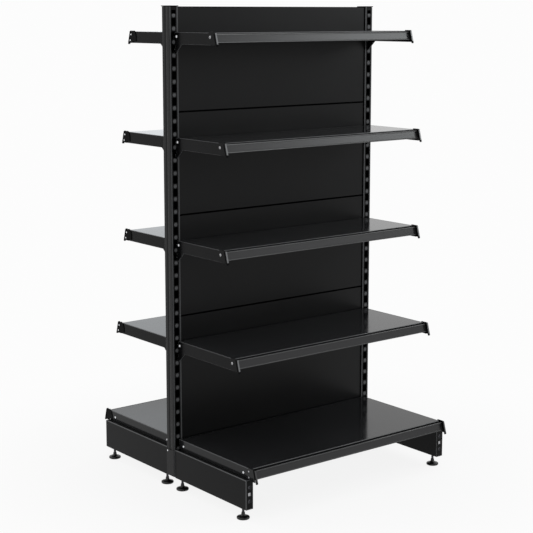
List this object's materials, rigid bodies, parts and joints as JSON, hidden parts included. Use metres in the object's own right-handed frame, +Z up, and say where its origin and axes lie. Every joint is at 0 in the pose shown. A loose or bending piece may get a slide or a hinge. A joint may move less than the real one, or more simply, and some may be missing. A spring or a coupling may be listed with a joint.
{
  "type": "gondola shelving",
  "caption": "Double-sided gondola shelving bay in black steel, with slotted posts, back panels, base decks on legs with levelling feet, and hook-in shelves with ticket strips.",
  "frame": {"origin": "on the floor, below the middle of the bay", "axes": "+X along the bay from its left post to its right post, as seen from the front, -Y towards the front side, +Y towards the rear side, +Z up"},
  "size_m": [1.05, 1.06, 1.9],
  "materials": {
    "post_paint": "black powder coat, fine texture, satin",
    "panel_paint": "black powder coat, fine texture, satin",
    "leg_paint": "black powder coat, fine texture, satin",
    "deck_paint": "black powder coat, fine texture, satin",
    "tray_paint": "black powder coat, fine texture, satin",
    "bracket_paint": "black powder coat, fine texture, satin",
    "ticket_strip_paint": "dark grey coat, satin",
    "cap_plastic": "black, matt",
    "foot_plastic": "black, matt"
  },
  "bodies": {
    "frame": {"left_post": "post_paint", "left_post_cap": "cap_plastic", "right_post": "post_paint", "right_post_cap": "cap_plastic", "front_panel_1": "panel_paint", "front_panel_2": "panel_paint", "front_panel_3": "panel_paint", "front_panel_4": "panel_paint", "front_left_leg": "leg_paint", "front_right_leg": "leg_paint", "rear_panel_1": "panel_paint", "rear_panel_2": "panel_paint", "rear_panel_3": "panel_paint", "rear_panel_4": "panel_paint", "rear_left_leg": "leg_paint", "rear_right_leg": "leg_paint"},
    "front_deck_unit": {"front_deck": "deck_paint", "front_deck_ticket_strip": "ticket_strip_paint"},
    "front_shelf_1": {"front_tray_1": "tray_paint", "front_bracket_1_left": "bracket_paint", "front_bracket_1_right": "bracket_paint", "front_ticket_strip_1": "ticket_strip_paint"},
    "front_shelf_2": {"front_tray_2": "tray_paint", "front_bracket_2_left": "bracket_paint", "front_bracket_2_right": "bracket_paint", "front_ticket_strip_2": "ticket_strip_paint"},
    "front_shelf_3": {"front_tray_3": "tray_paint", "front_bracket_3_left": "bracket_paint", "front_bracket_3_right": "bracket_paint", "front_ticket_strip_3": "ticket_strip_paint"},
    "front_shelf_4": {"front_tray_4": "tray_paint", "front_bracket_4_left": "bracket_paint", "front_bracket_4_right": "bracket_paint", "front_ticket_strip_4": "ticket_strip_paint"},
    "front_left_heel_foot_unit": {"front_left_heel_foot": "foot_plastic"},
    "front_left_toe_foot_unit": {"front_left_toe_foot": "foot_plastic"},
    "front_right_heel_foot_unit": {"front_right_heel_foot": "foot_plastic"},
    "front_right_toe_foot_unit": {"front_right_toe_foot": "foot_plastic"},
    "rear_deck_unit": {"rear_deck": "deck_paint", "rear_deck_ticket_strip": "ticket_strip_paint"},
    "rear_shelf_1": {"rear_tray_1": "tray_paint", "rear_bracket_1_left": "bracket_paint", "rear_bracket_1_right": "bracket_paint", "rear_ticket_strip_1": "ticket_strip_paint"},
    "rear_shelf_2": {"rear_tray_2": "tray_paint", "rear_bracket_2_left": "bracket_paint", "rear_bracket_2_right": "bracket_paint", "rear_ticket_strip_2": "ticket_strip_paint"},
    "rear_shelf_3": {"rear_tray_3": "tray_paint", "rear_bracket_3_left": "bracket_paint", "rear_bracket_3_right": "bracket_paint", "rear_ticket_strip_3": "ticket_strip_paint"},
    "rear_shelf_4": {"rear_tray_4": "tray_paint", "rear_bracket_4_left": "bracket_paint", "rear_bracket_4_right": "bracket_paint", "rear_ticket_strip_4": "ticket_strip_paint"},
    "rear_left_heel_foot_unit": {"rear_left_heel_foot": "foot_plastic"},
    "rear_left_toe_foot_unit": {"rear_left_toe_foot": "foot_plastic"},
    "rear_right_heel_foot_unit": {"rear_right_heel_foot": "foot_plastic"},
    "rear_right_toe_foot_unit": {"rear_right_toe_foot": "foot_plastic"}
  },
  "joints": [
    {"name": "front_deck_lift", "type": "slide", "parent": "frame", "child": "front_deck_unit", "axis": [0, 0, 1], "range_m": [0, 0.1]},
    {"name": "front_shelf_1_lift", "type": "slide", "parent": "frame", "child": "front_shelf_1", "axis": [0, 0, 1], "range_m": [0, 0.012]},
    {"name": "front_shelf_2_lift", "type": "slide", "parent": "frame", "child": "front_shelf_2", "axis": [0, 0, 1], "range_m": [0, 0.012]},
    {"name": "front_shelf_3_lift", "type": "slide", "parent": "frame", "child": "front_shelf_3", "axis": [0, 0, 1], "range_m": [0, 0.012]},
    {"name": "front_shelf_4_lift", "type": "slide", "parent": "frame", "child": "front_shelf_4", "axis": [0, 0, 1], "range_m": [0, 0.012]},
    {"name": "front_left_heel_foot_level", "type": "slide", "parent": "frame", "child": "front_left_heel_foot_unit", "axis": [0, 0, 1], "range_m": [-0.025, 0.02]},
    {"name": "front_left_toe_foot_level", "type": "slide", "parent": "frame", "child": "front_left_toe_foot_unit", "axis": [0, 0, 1], "range_m": [-0.025, 0.02]},
    {"name": "front_right_heel_foot_level", "type": "slide", "parent": "frame", "child": "front_right_heel_foot_unit", "axis": [0, 0, 1], "range_m": [-0.025, 0.02]},
    {"name": "front_right_toe_foot_level", "type": "slide", "parent": "frame", "child": "front_right_toe_foot_unit", "axis": [0, 0, 1], "range_m": [-0.025, 0.02]},
    {"name": "rear_deck_lift", "type": "slide", "parent": "frame", "child": "rear_deck_unit", "axis": [0, 0, 1], "range_m": [0, 0.1]},
    {"name": "rear_shelf_1_lift", "type": "slide", "parent": "frame", "child": "rear_shelf_1", "axis": [0, 0, 1], "range_m": [0, 0.012]},
    {"name": "rear_shelf_2_lift", "type": "slide", "parent": "frame", "child": "rear_shelf_2", "axis": [0, 0, 1], "range_m": [0, 0.012]},
    {"name": "rear_shelf_3_lift", "type": "slide", "parent": "frame", "child": "rear_shelf_3", "axis": [0, 0, 1], "range_m": [0, 0.012]},
    {"name": "rear_shelf_4_lift", "type": "slide", "parent": "frame", "child": "rear_shelf_4", "axis": [0, 0, 1], "range_m": [0, 0.012]},
    {"name": "rear_left_heel_foot_level", "type": "slide", "parent": "frame", "child": "rear_left_heel_foot_unit", "axis": [0, 0, 1], "range_m": [-0.025, 0.02]},
    {"name": "rear_left_toe_foot_level", "type": "slide", "parent": "frame", "child": "rear_left_toe_foot_unit", "axis": [0, 0, 1], "range_m": [-0.025, 0.02]},
    {"name": "rear_right_heel_foot_level", "type": "slide", "parent": "frame", "child": "rear_right_heel_foot_unit", "axis": [0, 0, 1], "range_m": [-0.025, 0.02]},
    {"name": "rear_right_toe_foot_level", "type": "slide", "parent": "frame", "child": "rear_right_toe_foot_unit", "axis": [0, 0, 1], "range_m": [-0.025, 0.02]}
  ]
}
